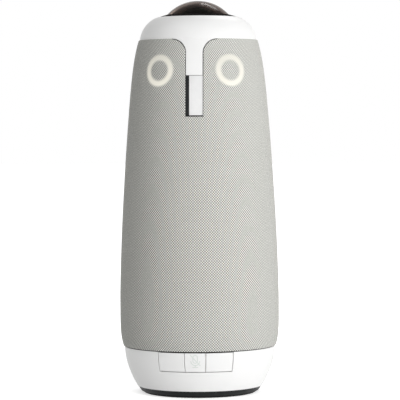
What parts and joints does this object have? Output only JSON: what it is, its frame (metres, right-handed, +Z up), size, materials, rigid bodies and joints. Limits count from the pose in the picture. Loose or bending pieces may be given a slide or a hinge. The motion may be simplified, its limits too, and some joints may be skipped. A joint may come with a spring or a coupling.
{
  "type": "conference camera",
  "caption": "Tall fabric-covered conference camera with a panoramic lens dome on top, ring lights, speakers inside, and volume and mute keys in its base.",
  "frame": {"origin": "on the surface that it stands on, under the centre of the body", "axes": "+Z up along the body to the lens dome, -Y towards the front with the keys and the spine, +X to the right as seen from the front"},
  "size_m": [0.111, 0.111, 0.273],
  "materials": {
    "foot_rubber": "soft matt",
    "base_plate_plastic": "fine grain",
    "insert_brass": "turned",
    "white_plastic": "satin white",
    "key_plastic": "satin white",
    "screw_steel": "zinc plated",
    "switch_plastic": "matt",
    "stem_plastic": "matt",
    "flex_film": "polyimide film",
    "inner_plastic": "matt black",
    "board": "solder mask",
    "connector_plastic": "matt black",
    "connector_steel": "stamped",
    "basket_steel": "black coat",
    "cone_paper": "coated paper",
    "magnet_ferrite": "ground ferrite",
    "standoff_brass": "turned",
    "can_steel": "tin plate",
    "sink_aluminium": "extruded",
    "light_guide_clear": "frosted",
    "sensor_glass": "coated",
    "barrel_black": "black anodised",
    "lens_glass": "coated",
    "grille_plastic": "matt black",
    "knit": "tight knit",
    "trim_plastic": "satin light grey",
    "bezel_black": "satin black",
    "seal_rubber": "matt",
    "dome_glass": "smoked clear"
  },
  "bodies": {
    "housing": {"foot_ring": "foot_rubber", "base_plate": "base_plate_plastic", "tripod_insert": "insert_brass", "base_screws": "screw_steel", "base_shell": "white_plastic", "key_switches": "switch_plastic", "key_flex_board": "flex_film", "key_bracket": "inner_plastic", "port_board": "board", "power_jack": "connector_plastic", "usb_port": "connector_steel", "lock_slot_insert": "connector_steel", "speaker_housing": "inner_plastic", "speaker_housing_lid": "inner_plastic", "lid_screws": "screw_steel", "speaker_basket_front": "basket_steel", "speaker_basket_right": "basket_steel", "speaker_basket_left": "basket_steel", "speaker_cone_front": "cone_paper", "speaker_cone_right": "cone_paper", "speaker_cone_left": "cone_paper", "speaker_magnet_front": "magnet_ferrite", "speaker_magnet_right": "magnet_ferrite", "speaker_magnet_left": "magnet_ferrite", "speaker_screws": "screw_steel", "board_standoffs": "standoff_brass", "main_board": "board", "shield_cans": "can_steel", "heat_sink": "sink_aluminium", "upper_frame": "inner_plastic", "left_light_board": "board", "right_light_board": "board", "left_light_guide": "light_guide_clear", "right_light_guide": "light_guide_clear", "mic_board": "board", "microphones": "can_steel", "image_sensor_board": "board", "image_sensor": "sensor_glass", "lens_barrel": "barrel_black", "rear_lens_elements": "lens_glass", "fisheye_lens": "lens_glass", "camera_flex_cable": "flex_film", "grille_shell": "grille_plastic", "fabric_sleeve": "knit", "front_trim_plate": "trim_plastic", "top_cap": "white_plastic", "cap_screws": "screw_steel", "lens_bezel": "bezel_black", "dome_seal": "seal_rubber", "lens_dome": "dome_glass"},
    "volume_down_key_body": {"volume_down_key": "key_plastic", "volume_down_stem": "stem_plastic"},
    "mute_key_body": {"mute_key": "key_plastic", "mute_stem": "stem_plastic"},
    "volume_up_key_body": {"volume_up_key": "key_plastic", "volume_up_stem": "stem_plastic"}
  },
  "joints": [
    {"name": "volume_down_key_slide", "type": "slide", "parent": "housing", "child": "volume_down_key_body", "axis": [0.319, 0.9478, 0], "range_m": [0, 0.0005], "stiffness_N_per_m": 3000},
    {"name": "mute_key_slide", "type": "slide", "parent": "housing", "child": "mute_key_body", "axis": [0, 1, 0], "range_m": [0, 0.0005], "stiffness_N_per_m": 3000},
    {"name": "volume_up_key_slide", "type": "slide", "parent": "housing", "child": "volume_up_key_body", "axis": [-0.319, 0.9478, 0], "range_m": [0, 0.0005], "stiffness_N_per_m": 3000}
  ]
}
